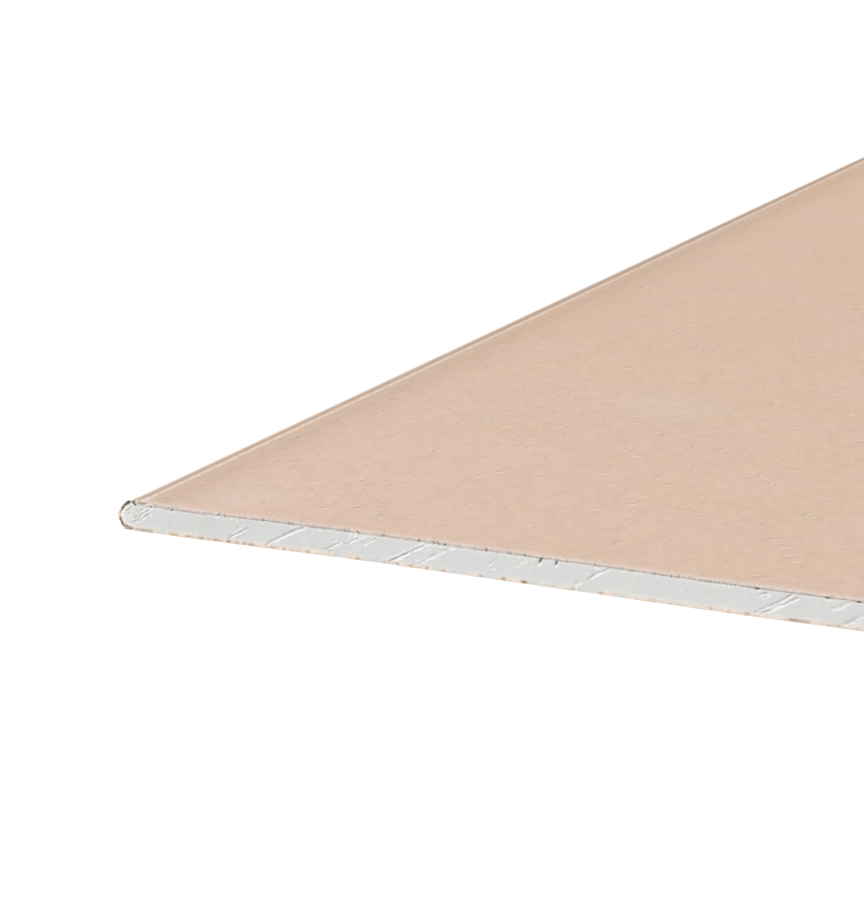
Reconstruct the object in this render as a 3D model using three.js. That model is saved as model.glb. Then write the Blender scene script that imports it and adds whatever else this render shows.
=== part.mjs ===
import * as THREE from 'three';

// A drywall sheet lying flat with its back up: a gypsum core bonded between two papers.
// The face paper lies under the core, wraps round both half-round long edges and folds
// onto the back as a flap. The back paper laps over that flap, and past the flap's end it
// ramps down to the core. Both ends are square cuts that leave the core and papers bare.
// Millimetres, +Z up, +Y along the length, origin on the floor below the sheet's middle.

// Board
const boardWidth = 1250;
const boardLength = 2000;
const boardThickness = 12.5;

// Papers
const facePaperThickness = 0.5;
const backPaperThickness = 0.5;

// Long edges, each measured across the board
const bareFlapStrip = 3.25;
const lapWidth = 8.5;
const lapRampWidth = 4;
const edgeArcSegments = 32;

// Places across the section, from the board's middle
const edgeRadius = boardThickness / 2;
const edgeCentreX = boardWidth / 2 - edgeRadius;
const lapStartX = edgeCentreX - bareFlapStrip;
const flapEndX = lapStartX - lapWidth;
const rampEndX = flapEndX - lapRampWidth;

// Heights of the section
const flapTopZ = boardThickness;
const flapUndersideZ = flapTopZ - facePaperThickness;
const fieldTopZ = boardThickness;
const fieldUndersideZ = fieldTopZ - backPaperThickness;
const lapTopZ = flapTopZ + backPaperThickness;

const gypsum = new THREE.MeshStandardMaterial({ color: 0xdadad7, roughness: 0.95, metalness: 0 });
const faceLiner = new THREE.MeshStandardMaterial({ color: 0xcbb49f, roughness: 0.85, metalness: 0 });
const backLiner = new THREE.MeshStandardMaterial({ color: 0xdac1ad, roughness: 0.9, metalness: 0 });

// The half-round of one long edge, from its lowest point to its highest. Side is 1 at +X
// and -1 at -X, and depth is how far the arc lies below the board's surface.
function edgeArc(side, depth) {
  const radius = edgeRadius - depth;
  const clockwise = side < 0;
  const arc = new THREE.EllipseCurve(
    side * edgeCentreX, edgeRadius, radius, radius, -Math.PI / 2, Math.PI / 2, clockwise,
  );
  return arc.getPoints(edgeArcSegments);
}

// A line across the section, given from its +X end to the middle and mirrored to -X.
function acrossBoard(rightHalf) {
  const leftHalf = rightHalf.map(([x, z]) => [-x, z]).reverse();
  return [...rightHalf, ...leftHalf].map(([x, z]) => new THREE.Vector2(x, z));
}

// Core: it fills the half-rounds inside the face paper, steps down under the flap and
// rises in a wedge beyond the flap's cut edge to carry the back paper's ramp.
function coreOutline() {
  const back = acrossBoard([
    [flapEndX, flapUndersideZ],
    [flapEndX, flapTopZ],
    [rampEndX, fieldUndersideZ],
  ]);
  const rightEdge = edgeArc(1, facePaperThickness);
  const leftEdge = edgeArc(-1, facePaperThickness).reverse();
  return [...rightEdge, ...back, ...leftEdge];
}

// Face paper: one sheet under the core and round both edges, ending in the two flaps.
function facePaperOutline() {
  const flapTops = [new THREE.Vector2(-flapEndX, flapTopZ), new THREE.Vector2(flapEndX, flapTopZ)];
  const flapUndersides = flapTops.map(({ x }) => new THREE.Vector2(x, flapUndersideZ));
  const outerWrap = [...edgeArc(-1, 0).reverse(), ...edgeArc(1, 0)];
  const innerWrap = [...edgeArc(1, facePaperThickness).reverse(), ...edgeArc(-1, facePaperThickness)];
  return [flapTops[0], ...outerWrap, flapTops[1], flapUndersides[1], ...innerWrap, flapUndersides[0]];
}

// Back paper: one even sheet over the core's back, raised over each flap.
function backPaperOutline() {
  const top = acrossBoard([
    [lapStartX, lapTopZ],
    [flapEndX, lapTopZ],
    [rampEndX, fieldTopZ],
  ]);
  const underside = acrossBoard([
    [lapStartX, flapTopZ],
    [flapEndX, flapTopZ],
    [rampEndX, fieldUndersideZ],
  ]);
  return [...top, ...underside.reverse()];
}

// One layer of the sheet: its section drawn in X and Z, run along the board's length.
function layer(name, outline, material) {
  const section = new THREE.Shape(outline);
  const solid = new THREE.ExtrudeGeometry(section, { depth: boardLength, steps: 1, bevelEnabled: false });
  const mesh = new THREE.Mesh(solid, material);
  mesh.name = name;
  return mesh;
}

const sheet = new THREE.Group();
sheet.add(layer('gypsum_core', coreOutline(), gypsum));
sheet.add(layer('face_paper', facePaperOutline(), faceLiner));
sheet.add(layer('back_paper', backPaperOutline(), backLiner));

// The sections stand up, and their depth runs back and forth of the middle.
sheet.rotation.x = Math.PI / 2;
sheet.position.y = boardLength / 2;

export default sheet;
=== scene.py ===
"""Drywall sheet lying flat, back up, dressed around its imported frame. Metres, +Z up, +Y along the sheet."""

import math
from collections import namedtuple

import bmesh
import bpy
import numpy as np
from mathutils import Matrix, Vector


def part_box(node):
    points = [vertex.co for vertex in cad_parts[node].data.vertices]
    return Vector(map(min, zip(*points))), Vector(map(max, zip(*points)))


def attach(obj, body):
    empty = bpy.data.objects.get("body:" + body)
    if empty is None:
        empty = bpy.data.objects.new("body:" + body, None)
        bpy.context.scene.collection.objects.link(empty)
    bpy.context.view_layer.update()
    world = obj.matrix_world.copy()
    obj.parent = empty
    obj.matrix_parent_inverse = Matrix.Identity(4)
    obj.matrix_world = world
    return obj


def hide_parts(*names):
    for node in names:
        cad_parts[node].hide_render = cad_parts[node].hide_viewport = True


MM = 0.001


# -------------------- sizes, from the frame

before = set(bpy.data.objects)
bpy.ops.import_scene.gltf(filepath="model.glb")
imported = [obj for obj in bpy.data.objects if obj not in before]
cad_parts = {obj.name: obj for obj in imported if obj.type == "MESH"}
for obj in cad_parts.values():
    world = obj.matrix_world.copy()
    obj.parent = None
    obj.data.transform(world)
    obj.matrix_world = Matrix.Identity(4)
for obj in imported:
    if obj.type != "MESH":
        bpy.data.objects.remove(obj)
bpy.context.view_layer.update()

face_low, face_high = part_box("face_paper")
core_low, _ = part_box("gypsum_core")
_, back_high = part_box("back_paper")

near_y = face_low[1]
far_y = face_high[1]
half_width = face_high[0]
board_thickness = face_high[2]
face_thickness = core_low[2]
back_thickness = back_high[2] - board_thickness
edge_radius = board_thickness / 2
edge_centre = half_width - edge_radius
core_radius = edge_radius - face_thickness
lap_start = back_high[0]

# Across the board, the same as in the section of the solids.
lap_width = 8.5 * MM
lap_ramp = 4 * MM
flap_end = lap_start - lap_width
ramp_end = flap_end - lap_ramp

# Along the outside of the face paper: a flap, the turn round an edge and the whole.
flap_run = edge_centre - flap_end
turn_run = math.pi * edge_radius
wrap_run = 2 * flap_run + 2 * turn_run + 2 * edge_centre

# Mesh pitch: fine by the corner that is seen closest, coarser along the rest of the cuts.
fine_pitch = 0.35 * MM
rough_pitch = 1.5 * MM
bend_pitch = 1 * MM
ramp_pitch = 0.8 * MM
fine_reach = 330 * MM
station_pitch = 8 * MM


# -------------------- noise and curves

# How many values the noise draws along a line, and along each side of a face.
LINE_VALUES = 4096
FACE_VALUES = 256


def eased(share):
    return share * share * (3 - 2 * share)


def smoothstep(low, high, value):
    return eased(np.clip((value - low) / (high - low), 0, 1))


def window(value, opening, opened, closing, closed):
    """1 along a stretch and 0 past it, with a smooth rise before it and a smooth fall after it."""
    return smoothstep(opening, opened, value) * (1 - smoothstep(closing, closed, value))


def bell(value, centre, width):
    return np.exp(-(((value - centre) / width) ** 2))


def wobble(place, pitch, seed):
    """Smooth noise from -1 to 1 along a line, with a new value every pitch."""
    values = np.random.default_rng(seed).uniform(-1, 1, LINE_VALUES)
    step = place / pitch + LINE_VALUES / 2
    first = np.floor(step).astype(int)
    share = eased(step - first)
    return values[first % LINE_VALUES] * (1 - share) + values[(first + 1) % LINE_VALUES] * share


def mottle(across, up, pitch, seed):
    """Smooth noise from -1 to 1 over a face, with a new value every pitch each way."""
    values = np.random.default_rng(seed).uniform(-1, 1, (FACE_VALUES, FACE_VALUES))
    step_x = across / pitch + FACE_VALUES / 2
    step_z = up / pitch + FACE_VALUES / 2
    column = np.floor(step_x).astype(int)
    row = np.floor(step_z).astype(int)
    share_x = eased(step_x - column)
    share_z = eased(step_z - row)

    def level(at):
        first = values[column % FACE_VALUES, at % FACE_VALUES]
        second = values[(column + 1) % FACE_VALUES, at % FACE_VALUES]
        return first * (1 - share_x) + second * share_x

    return level(row) * (1 - share_z) + level(row + 1) * share_z


# -------------------- the sheet's section

def wrap_path(along, depth):
    """Place (x, z) on the face paper, along its outside from the -X flap's end, at a depth below it."""
    on_right = along > wrap_run / 2
    run = np.where(on_right, wrap_run - along, along)
    angle = np.clip((run - flap_run) / edge_radius, 0, math.pi)
    radius = edge_radius - depth
    flap_x = -flap_end - np.minimum(run, flap_run)
    floor_x = -edge_centre + np.maximum(run - flap_run - turn_run, 0)
    x = np.where(run <= flap_run + turn_run / 2, flap_x, floor_x) - radius * np.sin(angle)
    z = edge_radius + radius * np.cos(angle)
    return np.where(on_right, -x, x), z


def degrees_round(along):
    """Degrees from the top, round a long edge, of places along the outside of the face paper."""
    return np.degrees((along - flap_run) / edge_radius)


def back_path(along, depth):
    """Place (x, z) on the back paper, which rises over each flap, at a depth below its top."""
    rise = smoothstep(ramp_end, flap_end, np.abs(along)) * back_thickness
    return along, board_thickness + rise - depth


def spread(*breaks):
    """Places along a line: from each (start, pitch) pair to the next one's start, evenly."""
    places = []
    for (start, pitch), (end, _) in zip(breaks, breaks[1:]):
        count = max(1, round((end - start) / pitch))
        places.append(np.linspace(start, end, count, endpoint=False))
    places.append(np.array([breaks[-1][0]]))
    return np.concatenate(places)


# -------------------- how the ends were cut

# Every table here is in millimetres, and a place is a distance from the corner that is seen closest.

# The near cut's wander along the board: place, and how far it runs outwards.
WANDER = (
    (0, -0.8), (8, -0.6), (16, 0.6), (28, 1.4), (42, 1.6), (75, -0.5), (120, -1.7), (180, -0.8), (290, 0.9),
    (420, 0.2), (1250, 0.0),
)

# Grooves that the saw left in the near cut, each one a strength and the points that it runs through:
# place and height.
GROOVES = (
    # the coarse hatching in the half-round
    (0.78, (3.4, 8), (4.4, 8.7), (5.3, 9.6), (6.2, 10.4)),
    (0.80, (2.3, 6.3), (2.5, 6.9)),
    (0.55, (2.4, 4.9), (3.2, 5.4), (4, 5.9)),
    (0.50, (4.4, 6.5), (5.3, 7), (6.2, 7.8)),
    (0.42, (4.9, 7.9), (5.6, 8.5), (6.6, 9.3)),
    (0.40, (7.4, 6.9), (8, 7.8), (8.3, 8.9)),
    (0.60, (8.8, 9.6), (10, 10.2)),
    (0.50, (9.3, 8), (9.8, 8.6)),
    (0.66, (8.6, 5.9), (9.2, 6.6)),
    (0.72, (11, 9.4), (12.3, 9.8), (13.7, 10.8)),
    (0.72, (12.4, 8.2), (13.4, 8.8), (14.5, 9.2), (15.4, 10.3)),
    (0.74, (13.6, 7.2), (15.2, 7.8)),
    (0.66, (12.7, 6.5), (13.4, 6.6)),
    (0.60, (10.3, 6.4), (11.3, 7.3), (12.4, 8.1)),
    (0.62, (11.1, 5.2), (12.6, 5.8)),
    (0.80, (8.9, 4.5), (10.3, 4.9)),
    (0.50, (6.6, 3.4), (8.7, 4.1)),
    # the long strokes and the short ones between them
    (0.70, (55.4, 1.9), (57.9, 4.1)),
    (0.75, (59.1, 4.7), (61.2, 5.8), (62.5, 6.8), (64.1, 7.6)),
    (0.40, (58, 6.2), (59, 6.5), (60.2, 7.9)),
    (0.50, (59, 2.5), (60.6, 3.5)),
    (0.85, (73.3, 1.4), (76.5, 3.6), (79.1, 4.9), (82.3, 6.8), (87.1, 9.4), (90.9, 10.8)),
    (0.65, (102, 2.9), (104, 3.7), (106.6, 5.7), (108.2, 6.2)),
    (0.90, (103.8, 2.1), (104.8, 2.5)),
    (0.35, (105, 6.7), (106, 7.1)),
    (0.55, (110.8, 6.2), (111.4, 6.2)),
    (0.65, (112.4, 6.5), (114.6, 7.6), (116.6, 9.1)),
    (0.45, (112.6, 8.6), (113, 8.8)),
    (0.45, (115, 6.5), (115.4, 6.7)),
    (0.35, (119.5, 7.5), (122, 8.3)),
    (0.50, (123.4, 9.3), (125.8, 10.3)),
    (1.00, (132.6, 1.3), (136.6, 3.5), (139.3, 5.1), (142.4, 6.8), (144.8, 8.1), (148.4, 9.9)),
    (0.50, (149, 8.6), (149.4, 8.8)),
    (0.50, (143.3, 5.6), (144.3, 6.1)),
    (0.40, (140.3, 3.5), (142.6, 4)),
    (0.70, (144.8, 1.5), (147.2, 3), (149.1, 3.7)),
    (0.75, (151.5, 5.4), (153.7, 6.7), (154.6, 7.5)),
    (0.55, (157.8, 9.2), (159.7, 9.9)),
    (0.40, (180, 6.3), (181.4, 7.5), (183.5, 9.4)),
    (0.40, (180, 4.5), (182.4, 5.6)),
    (0.35, (178.9, 1.4), (181.2, 3.1)),
    (0.35, (192.9, 8), (194.3, 8.9)),
    (0.40, (217.4, 3.7), (217.8, 3.9)),
    (0.50, (219.5, 3.3), (222.3, 4.6)),
    (0.72, (224.1, 5.4), (226.5, 6.8), (228.3, 8.4), (232.5, 10.1), (234.4, 11.2)),
    (0.40, (256.6, 2.9), (258, 3.4)),
)

# Ridges beside the grooves, pale with plaster dust and with a painted highlight on their lit side, in the
# same terms.
RIDGES = (
    (1.00, (2.4, 8.1), (3.4, 9.1), (4.6, 10.1), (5.5, 10.7)),
    (0.90, (1.1, 5.4), (1.3, 6.6)),
    (0.60, (6.5, 10.9), (6.8, 11.1)),
    (0.70, (6.9, 7.9), (7.1, 8.2)),
    (0.40, (4.4, 5.5), (5.2, 5.9)),
    (0.40, (5.6, 6.2), (6.6, 6.9)),
    (0.45, (9, 10.7), (9.2, 10.9)),
    (0.70, (10.9, 8.1), (12.4, 9), (13.5, 9.9), (14.1, 10.4)),
    (0.68, (12.4, 7.3), (13.8, 8.3), (14.9, 9.1), (16.3, 10.2)),
    (0.60, (11.3, 6.1), (12.1, 6.6)),
    (0.60, (13.1, 5.5), (13.5, 5.9)),
    (0.50, (16.3, 7.4), (16.7, 8.1)),
    (0.45, (9.4, 6.8), (10, 7.1)),
    (0.50, (6.8, 4.6), (7.4, 5.1)),
    (0.50, (9.5, 3.4), (11, 3.9)),
    (1.00, (56.4, 1.7), (56.8, 2.1)),
    (0.70, (57.5, 2.8), (59, 3.5), (61.2, 4.7), (62.8, 5.9), (63.9, 6.5)),
    (0.60, (57.4, 4.6), (59, 5.5), (60.9, 6.7), (62.2, 7.6)),
    (0.85, (74.9, 1.7), (79.1, 3.6), (80.7, 4.6), (83.9, 6.5), (89.3, 9.2), (91.9, 10.5)),
    (0.45, (91.8, 6.4), (92.2, 6.6)),
    (0.50, (103, 2.5), (104.6, 3.4), (106, 4.1), (108, 5.1)),
    (0.50, (106.2, 6.1), (107.4, 7.1)),
    (0.50, (109.2, 6), (110, 6.2)),
    (0.50, (112.4, 7.5), (113.8, 9.7)),
    (0.80, (113.6, 6.5), (115.4, 7.5), (116.8, 8.3)),
    (0.80, (115.6, 9.7), (116.8, 11.5)),
    (0.50, (118, 9.1), (119.4, 9.1), (120, 10.1), (121.4, 10.4)),
    (0.60, (120.6, 6.5), (121.8, 7.1), (123.6, 8.1), (125, 9.1)),
    (0.50, (123.4, 9.9), (125.6, 11.1)),
    (0.40, (132, 2.5), (137.5, 5), (141, 7), (146.5, 10), (148.4, 10.9)),
    (0.80, (135.4, 1.8), (137.6, 2.7), (140, 4.4), (142.4, 5.4)),
    (0.90, (144.8, 7.3), (147.2, 8.3), (149.6, 9.9), (152, 10.7)),
    (0.60, (145.3, 2.5), (147.2, 3.5)),
    (0.62, (148.2, 2.7), (150, 3.5), (152, 4.7), (154, 5.6), (156, 6.8), (157.8, 8), (160, 8.7)),
    (0.50, (157.8, 10.6), (158.2, 10.8)),
    (0.50, (160.2, 9.5), (163.5, 10.3)),
    (0.50, (149.6, 7.8), (150.6, 8.3)),
    (0.50, (179.8, 4.9), (181.7, 6.3)),
    (0.50, (181.7, 3.5), (182.8, 4.7)),
    (0.40, (184.3, 10.7), (184.7, 10.9)),
    (0.50, (194.7, 8.2), (197, 9.4)),
    (0.40, (192.8, 6.5), (193.2, 6.7)),
    (0.60, (220.4, 2.1), (222.7, 3.5)),
    (0.40, (217.4, 3), (217.8, 3.2)),
    (0.80, (227, 6.1), (229.7, 8), (232.5, 9.4), (234.9, 11)),
    (0.50, (267, 6.1), (268, 7.2)),
)

# Slope of the saw's strokes, and where the ridge beside a groove lies from it.
STROKE_SLOPE = math.tan(math.radians(30.1))
RIDGE_BESIDE = (0.8, -0.8)

# Grooves drawn at random: how far they reach, how far apart they start, and the odds of both.
STROKE_REACHES = (1.5, 3.5, 15)
STROKE_GAPS = (0.8, 3, 26)
STROKE_ODDS = (0.4, 0.35, 0.25)
STROKE_TOP = 11
STROKE_JITTER = 0.3

# Half the width of a groove and of a ridge.
GROOVE_WIDTH = 0.34
RIDGE_WIDTH = 0.38

# How deep into a cut, or how far out of it, each mark goes at a strength of 1.
GROOVE_DEPTH = 0.42
RIDGE_HEIGHT = 0.17
GAP_DEPTH = 0.35
FOOT_GAP_DEPTH = 0.3
NICK_DEPTH = 0.7
CHIP_HEIGHT = 0.1

# Nicks and pits under the back paper: place, drop below the core's top, half width, half height, lean
# and strength.
NICKS = (
    (7.6, 0.3, 0.52, 0.95, 1.1, 1.80),
    (16.2, 0.7, 0.55, 0.50, 0.2, 0.75),
    (18.8, 1.0, 0.50, 0.50, 0.5, 0.60),
    (27.0, 0.8, 0.45, 0.80, -0.6, 0.60),
    (50.1, 0.2, 0.45, 0.70, -0.6, 0.65),
    (53.6, 0.7, 0.32, 0.70, 0.3, 0.50),
    (71.8, 0.1, 0.50, 0.60, 0.3, 0.55),
    (84.2, 0.2, 0.40, 0.80, 0.4, 0.50),
    (86.0, 0.2, 0.35, 0.70, 0.2, 0.45),
    (110.8, 0.2, 0.40, 0.80, 0.0, 0.50),
    (112.5, 0.3, 0.35, 0.70, 0.0, 0.50),
    (117.2, 0.4, 0.50, 0.80, 0.5, 0.65),
    (129.3, 0.1, 1.10, 0.60, 0.0, 0.45),
    (146.2, 0.4, 0.45, 0.70, 0.0, 0.60),
    (153.2, 0.5, 0.45, 0.80, 0.2, 0.60),
    (155.2, 0.1, 0.45, 0.90, 0.9, 0.90),
    (158.5, 0.5, 0.60, 0.70, -0.5, 0.50),
    (178.0, 0.1, 0.45, 0.80, 0.0, 0.70),
    (189.0, 0.2, 0.40, 0.60, 0.0, 0.40),
    (196.0, 0.2, 0.45, 0.60, 0.2, 0.50),
    (203.0, 1.5, 0.70, 1.10, -0.35, 1.15),
    (210.4, 1.5, 0.65, 0.95, -0.15, 1.15),
    (215.3, 0.4, 0.40, 0.70, 0.0, 0.45),
    (228.0, 0.3, 0.50, 0.60, 0.0, 0.40),
    (255.0, 0.3, 0.50, 0.60, 0.0, 0.45),
    (262.5, 0.3, 0.40, 0.60, 0.0, 0.50),
    (265.5, 0.4, 0.40, 0.60, 0.0, 0.50),
)

# A row of shallow pits of one kind along the near cut: from, to and pitch, and what each pit has.
PIT_ROW = (275, 292, 1.7)
ROW_PIT = (0.35, 0.35, 0.7, 0.4, 0.35)

# Nicks drawn at random: drops and their odds, then the limits of the other numbers and of the steps.
NICK_DROPS = (0.3, 0.5, 1.4)
NICK_ODDS = (0.5, 0.35, 0.15)
NICK_LIMITS = ((0.6, 1.2), (0.4, 0.9), (-0.6, 0.6), (0.5, 1.1))
NICK_STEPS = (5, 34)

# Brown dashes on the face paper's near cut edge: from, to and strength.
DASHES = (
    (3.5, 7.5, 0.95), (9, 18, 0.68), (26, 31, 0.62), (34, 38, 0.48), (41, 43.5, 0.62), (45, 47, 0.45),
    (48, 52, 0.50), (54.5, 56.5, 0.90), (58.5, 61, 0.55), (62, 64, 0.62), (65.5, 68.5, 0.60), (76, 80, 0.45),
    (82, 83, 0.85), (85, 91, 0.30), (93, 95, 0.60), (103, 105, 0.35), (113.5, 115, 0.40), (117, 119, 0.70),
    (130, 133, 0.30), (136.5, 137.5, 0.85), (142.5, 144.5, 0.50), (150, 151.5, 0.70), (158.5, 160, 0.50),
    (175, 177, 0.45), (186, 188, 0.65), (195, 197.5, 0.85), (206, 208, 0.45), (218, 220, 0.40),
    (231, 233, 0.50), (237, 239, 0.40), (253, 256, 0.40), (262, 264, 0.35), (280, 281.5, 0.50),
    (288, 289, 0.50),
)

# Stretches of the face paper's near cut edge that gypsum covers: from and to.
PLASTERED = (
    (20, 24), (53.5, 54.3), (106.5, 112.5), (120, 129), (133.5, 136), (153, 157.5), (161.5, 169.5),
    (178, 183), (198.5, 202.5), (209, 213.5), (221, 230.5), (240, 243),
)

# The notch that runs down through the flap's cut edge, painted as shade: place and half width.
FLAP_NOTCH = (7.4, 0.5)

# The gap under the back paper: place, and its depth below the core's top and half breadth.
GAPS = (
    (0, 0.3, 0.53), (14, 0.62, 0.53), (20, 0.5, 0.53), (30, 0.4, 0.53), (46, 0.4, 0.53), (52, 0.0, 0.50),
    (68, 0.0, 0.50), (80, 0.1, 0.50), (90, 0.4, 0.60), (94, 0.3, 0.74), (110, 0.3, 0.70), (118, 0.5, 0.55),
    (130, 0.45, 0.46), (152, 0.40, 0.46), (165, 0.5, 0.58), (178, 0.4, 0.56), (190, 0.3, 0.46),
    (205, 0.25, 0.55), (215, 0.05, 0.55), (228, 0.15, 0.55), (240, 0.25, 0.55),
)

# The same along the far cut, where it is even.
FAR_GAP = (0.25, 0.53)

# How far the cut bulges outwards by the half-round: place of its middle, reach and height.
BULGE = (10, 6, 0.65)

# How far the wrap has come away from the core round the near left edge: degrees from the top, and how far.
FLARE = (
    (-14, 0), (-9, 0.40), (0, 0.60), (18, 0.55), (30, 0.20), (44, 0.0), (66, 0), (76, 0.15), (86, 0.65),
    (103, 0.62), (110, 0.42), (116, 0.25), (122, 0.25), (130, 0.38), (144, 0.40), (150, 0.28), (157, 0),
)

# How far the saw leaned: the near cut's foot stands out past its top by this much.
SAW_LEAN = 1.6

# Where the near cut's foot is set back from that lean: places where it starts, is full, fades and ends,
# and by how much.
SET_BACK = (17, 29, 56, 72, 1.0)

# Strength of the ripple along both cuts, and the far cut's own wander and the length of its waves.
CUT_RIPPLE = 0.12
FAR_WANDER = 0.9
FAR_WAVES = 160


def from_corner(x):
    return (x + half_width) / MM


def ripple(x, seed):
    return CUT_RIPPLE * wobble(x, 9 * MM, seed)


def cut_y(x, z, end):
    """Where the cut at one end of the sheet lies, at places across it and up it."""
    if end > 0:
        return far_y + (FAR_WANDER * wobble(x, FAR_WAVES * MM, 12) + ripple(x, 13)) * MM
    place = from_corner(x)
    knots, reach = zip(*WANDER)
    outwards = np.zeros_like(place)
    for shift in (-12, -6, 0, 6, 12):
        outwards = outwards + np.interp(place + shift, knots, reach) / 5
    middle, reach, height = BULGE
    outwards = outwards + height * bell(place, middle, reach) + ripple(x, 11)
    up = z / board_thickness
    *stretch, most = SET_BACK
    return near_y + (SAW_LEAN * (up - 0.5) + most * window(place, *stretch) * (1 - up) - outwards) * MM


def random_grooves(seed, first, last):
    """Grooves for the stretches of a cut that nothing else sets, in the same terms as GROOVES."""
    dice = np.random.default_rng(seed)
    grooves = []
    place = first
    while place < last:
        reach = dice.choice(STROKE_REACHES, p=STROKE_ODDS)
        low = dice.uniform(1, STROKE_TOP - reach * STROKE_SLOPE)
        points = []
        for share in (0, 0.35, 0.7, 1):
            run = share * reach
            across = place + run + dice.uniform(-STROKE_JITTER, STROKE_JITTER)
            up = low + run * STROKE_SLOPE + dice.uniform(-STROKE_JITTER, STROKE_JITTER)
            points.append((across, up))
        grooves.append((dice.uniform(0.35, 0.9), *points))
        place += dice.choice(STROKE_GAPS, p=STROKE_ODDS)
    return grooves


def ridges_beside(grooves):
    """The ridge beside each groove."""
    across, up = RIDGE_BESIDE
    return [(0.9 * strength, *((x + across, z + up) for x, z in points)) for strength, *points in grooves]


def drawn_strokes(x, z, strokes, width, seed):
    """Strength of the strokes at places on a cut, each one ragged and uneven along its run."""
    place = from_corner(x) + 0.25 * mottle(x, z, 1.1 * MM, seed)
    height = z / MM + 0.25 * mottle(x, z, 1.1 * MM, seed + 1)
    uneven = np.clip(0.95 + 0.50 * mottle(x, z, 1.5 * MM, seed + 2), 0.3, 1.3)
    far_away = 9
    strongest = np.zeros_like(place)
    for strength, *points in strokes:
        nearest = np.full_like(place, far_away)
        for (start_x, start_z), (end_x, end_z) in zip(points, points[1:]):
            run_x = end_x - start_x
            run_z = end_z - start_z
            across = place - start_x
            up = height - start_z
            share = np.clip((across * run_x + up * run_z) / (run_x ** 2 + run_z ** 2), 0, 1)
            nearest = np.minimum(nearest, np.hypot(across - share * run_x, up - share * run_z))
        strongest = np.maximum(strongest, strength * bell(nearest, 0, width))
    return strongest * uneven


def random_nicks(seed, first, last):
    """Nicks for the stretches of a cut that nothing else sets, in the same terms as NICKS."""
    dice = np.random.default_rng(seed)
    nicks = []
    place = first
    while place < last:
        drop = dice.choice(NICK_DROPS, p=NICK_ODDS)
        nicks.append((place, drop, *(dice.uniform(*limits) for limits in NICK_LIMITS)))
        place += dice.uniform(*NICK_STEPS)
    return nicks


def nicked(x, to_top, nicks):
    """Strength of the nicks and pits at places on a cut, and of the pale chips below them."""
    hollow = np.zeros_like(x)
    chip = np.zeros_like(x)
    place = from_corner(x)
    for centre, drop, width, height, lean, strength in nicks:
        below = to_top - drop
        middle = centre + lean * below
        hollow = hollow + strength * bell(place, middle, width) * bell(below, 0, height)
        chip = chip + strength * bell(place, middle + width, width) * bell(below, 1.4 * height, 0.5 * height)
    return hollow, chip


def plastered(place):
    """Where gypsum covers the face paper's near cut edge, from 0 to 1."""
    cover = np.zeros_like(place)
    for start, end in PLASTERED:
        cover = np.maximum(cover, window(place, start - 0.8, start + 0.8, end - 0.8, end + 0.8))
    return cover


def edge_dashes(place):
    """Strength of the brown dashes on the face paper's near cut edge, and of random ones past the last."""
    placed = np.zeros_like(place)
    for start, end, strength in DASHES:
        placed = np.maximum(placed, strength * window(place, start - 0.6, start + 0.5, end - 0.5, end + 0.6))
    random = wobble(place * MM, 1.9 * MM, 33) + 0.5 * wobble(place * MM, 9 * MM, 34)
    last = DASHES[-1][1]
    return np.where(place > last + 3, 0.6 * smoothstep(0.25, 0.8, random), placed)


# -------------------- building closed shells

def set_mark(mesh, name, values):
    """Gives a mesh a number for each of its points."""
    data = mesh.attributes.new(name, "FLOAT", "POINT").data
    data.foreach_set("value", np.ascontiguousarray(values, dtype=np.float32))


class Shell:
    """A closed mesh made from rows of points, each row stitched to the next."""

    def __init__(self):
        self.points = []
        self.marks = []
        self.faces = []
        self.count = 0

    def row(self, places, points, marks):
        """Adds a row: where its points lie along the stitch, the points, and a column for each mark."""
        indices = np.arange(self.count, self.count + len(points))
        self.points.append(points)
        self.marks.append(marks)
        self.count += len(points)
        return places, indices

    def stitch(self, one, other):
        """Joins two rows by quads where their points lie at the same places, or else by triangles."""
        places_a, a = one
        places_b, b = other
        if len(a) == len(b) and np.allclose(places_a, places_b, rtol=0, atol=1e-7):
            self.faces.extend(np.stack((a[:-1], a[1:], b[1:], b[:-1]), axis=1).tolist())
            return
        a = a.tolist()
        b = b.tolist()
        i = j = 0
        while i < len(a) - 1 or j < len(b) - 1:
            if j == len(b) - 1 or (i < len(a) - 1 and places_a[i + 1] <= places_b[j + 1]):
                self.faces.append([a[i], a[i + 1], b[j]])
                i += 1
            else:
                self.faces.append([a[i], b[j + 1], b[j]])
                j += 1

    def stitch_round(self, rows):
        """Joins each row to the next and the last to the first."""
        for one, other in zip(rows, rows[1:] + rows[:1]):
            self.stitch(one, other)

    def close_side(self, outside, inside, pick):
        """Closes the gap between the rows' first or last points, along the sheet."""
        seams = []
        for rows in (outside, inside):
            indices = np.array([row[1][pick] for row in rows])
            seams.append((np.linspace(0, 1, len(rows)), indices))
        self.stitch(*seams)

    def finish(self, name, mark_names, crease_angle):
        """The mesh object: its doubles merged, its faces turned outwards and its sharp edges marked."""
        mesh = bpy.data.meshes.new(name)
        mesh.from_pydata(np.concatenate(self.points).tolist(), [], self.faces)
        marks = np.concatenate(self.marks)
        for column, title in enumerate(mark_names):
            set_mark(mesh, title, marks[:, column])
        shape = bmesh.new()
        shape.from_mesh(mesh)
        bmesh.ops.remove_doubles(shape, verts=shape.verts, dist=2e-6)
        bmesh.ops.dissolve_degenerate(shape, edges=shape.edges, dist=1e-7)
        bmesh.ops.recalc_face_normals(shape, faces=shape.faces)
        for face in shape.faces:
            face.smooth = True
        for edge in shape.edges:
            edge.smooth = len(edge.link_faces) == 2 and edge.calc_face_angle() < crease_angle
        shape.to_mesh(mesh)
        shape.free()
        piece = bpy.data.objects.new(name, mesh)
        bpy.context.scene.collection.objects.link(piece)
        return piece


def joined(x, y, z):
    return np.stack(np.broadcast_arrays(x, y, z), axis=1)


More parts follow.
